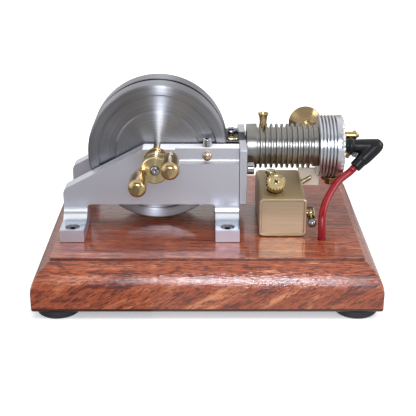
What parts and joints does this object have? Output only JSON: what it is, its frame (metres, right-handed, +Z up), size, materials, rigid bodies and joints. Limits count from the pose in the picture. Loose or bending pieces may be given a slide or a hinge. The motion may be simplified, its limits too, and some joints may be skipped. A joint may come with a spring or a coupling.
{
  "type": "model petrol engine",
  "caption": "Horizontal air-cooled model petrol engine with twin flywheels, finned cylinder, brass fuel tank and ignition lead, on a varnished wooden base with rubber feet.",
  "frame": {"origin": "middle of the wooden base's footprint, on the surface under the rubber feet", "axes": "+X along the cylinder towards the head, +Y from the starter side to the far side, +Z up"},
  "size_m": [0.1971, 0.15, 0.1139],
  "materials": {
    "wood": "satin varnish over reddish wood",
    "rubber": "moulded, matt",
    "frame": "bead blasted",
    "plate": "machined",
    "head": "turned bright",
    "wheel": "turned and polished",
    "barrel": "turned",
    "screws": "bright",
    "steel": "ground",
    "brass": "turned bright",
    "tank": "brushed",
    "boot": "moulded, satin",
    "lead": "silicone, semi-gloss"
  },
  "bodies": {
    "engine": {"base_plinth": "wood", "rubber_foot_1": "rubber", "rubber_foot_2": "rubber", "rubber_foot_3": "rubber", "rubber_foot_4": "rubber", "frame_near": "frame", "frame_far": "frame", "frame_near_screw_1": "screws", "frame_near_screw_2": "screws", "frame_far_screw_1": "screws", "frame_far_screw_2": "screws", "frame_top_screw_1": "screws", "frame_top_screw_2": "screws", "bush_near": "brass", "bush_far": "brass", "oil_plug": "brass", "end_plate": "plate", "end_plate_screw_1": "screws", "end_plate_screw_2": "screws", "cylinder_barrel": "barrel", "cylinder_head": "head", "oil_cup": "brass", "spark_plug": "steel", "plug_boot": "boot", "ignition_lead": "lead", "cam_post": "steel", "pushrod_guide": "plate", "rocker_bracket": "plate", "carburettor_body": "brass", "intake_bell": "brass", "exhaust_pipe": "brass", "fuel_tank": "tank", "filler_neck": "brass", "tank_vent": "brass", "fuel_outlet": "brass", "fuel_tap_body": "brass"},
    "crank": {"flywheel_near": "wheel", "flywheel_far": "wheel", "shaft_near": "steel", "shaft_far": "steel", "hub_washer": "plate", "starter_hub": "brass", "starter_knob_1": "brass", "starter_knob_2": "brass", "crank_pinion": "steel"},
    "cam": {"cam_gear": "brass"},
    "piston": {"piston": "plate", "wrist_pin": "steel"},
    "con_rod": {"con_rod": "steel", "crank_pin": "steel"},
    "pushrod": {"pushrod": "steel"},
    "rocker": {"rocker_arm": "plate"},
    "exhaust_valve": {"exhaust_valve": "brass"},
    "inlet_valve": {"inlet_valve": "brass"},
    "filler_cap": {"filler_cap": "brass"},
    "needle": {"needle_screw": "brass"},
    "tap": {"fuel_tap_spindle": "steel"}
  },
  "joints": [
    {"name": "crank_spin", "type": "hinge", "parent": "engine", "child": "crank", "pos_m": [-0.0284, 0, 0.074], "axis": [0, 1, 0], "continuous": true},
    {"name": "cam_spin", "type": "hinge", "parent": "engine", "child": "cam", "pos_m": [-0.01117, 0, 0.0684], "axis": [0, 1, 0], "continuous": true},
    {"name": "piston_slide", "type": "slide", "parent": "engine", "child": "piston", "axis": [1, 0, 0], "range_m": [-0.018, 0]},
    {"name": "rod_swing", "type": "hinge", "parent": "piston", "child": "con_rod", "pos_m": [0.048, 0, 0.074], "axis": [0, 1, 0], "range_deg": [-7.7, 7.7]},
    {"name": "pushrod_slide", "type": "slide", "parent": "engine", "child": "pushrod", "axis": [1, 0, 0], "range_m": [-0.002, 0]},
    {"name": "rocker_tilt", "type": "hinge", "parent": "engine", "child": "rocker", "pos_m": [0.0876, 0.0182, 0.0684], "axis": [0, 0, 1], "range_deg": [0, 7.4]},
    {"name": "exhaust_lift", "type": "slide", "parent": "engine", "child": "exhaust_valve", "axis": [1, 0, 0], "range_m": [0, 0.002]},
    {"name": "inlet_lift", "type": "slide", "parent": "engine", "child": "inlet_valve", "axis": [1, 0, 0], "range_m": [-0.002, 0], "stiffness_N_per_m": 40},
    {"name": "cap_turn", "type": "hinge", "parent": "engine", "child": "filler_cap", "pos_m": [0.0386, -0.022, 0.0547], "axis": [0, -0.6691, 0.7431], "range_deg": [0, 720]},
    {"name": "needle_turn", "type": "hinge", "parent": "engine", "child": "needle", "pos_m": [0.0767, 0.027, 0.074], "axis": [1, 0, 0], "range_deg": [0, 720]},
    {"name": "tap_turn", "type": "hinge", "parent": "engine", "child": "tap", "pos_m": [0.0588, -0.0285, 0.043], "axis": [0, -0.9613, -0.2756], "range_deg": [0, 360]}
  ],
  "couplings": [
    {"joint": "cam_spin", "follows": "crank_spin", "ratio": -0.5},
    {"joint": "rocker_tilt", "follows": "pushrod_slide", "rad_per_m": -64.103},
    {"joint": "exhaust_lift", "follows": "pushrod_slide", "ratio": -1}
  ]
}
